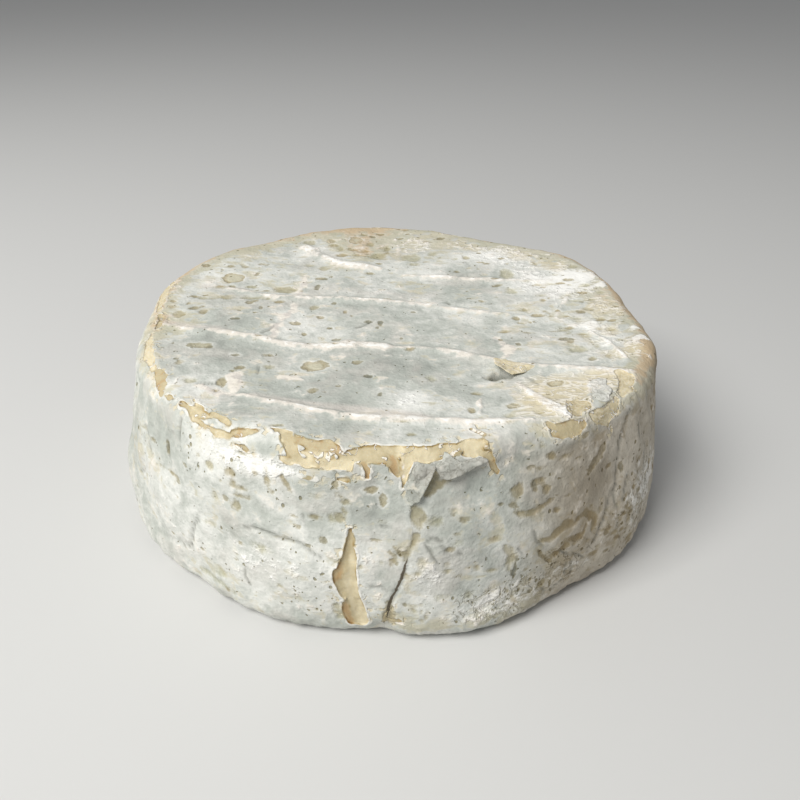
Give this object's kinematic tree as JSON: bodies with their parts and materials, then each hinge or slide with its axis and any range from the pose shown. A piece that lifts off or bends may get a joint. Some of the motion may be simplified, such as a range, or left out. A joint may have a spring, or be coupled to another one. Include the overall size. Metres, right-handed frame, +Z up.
{
  "type": "cheese wheel",
  "caption": "Small whole wheel of soft-ripened cheese with a mottled white and grey bloomy rind, peeled along the rim and torn and cracked down one side.",
  "frame": {"origin": "middle of the flat underside, on the surface the wheel rests on", "axes": "+Z up through the thickness of the wheel, with the torn and cracked side of the wall facing -Y"},
  "size_m": [0.103, 0.1062, 0.0353],
  "materials": {
    "rind": "matte, felt-like bloomy rind in white and grey, with paste showing where it has peeled"
  },
  "bodies": {
    "root": {"cheese_wheel": "rind"}
  },
  "joints": []
}
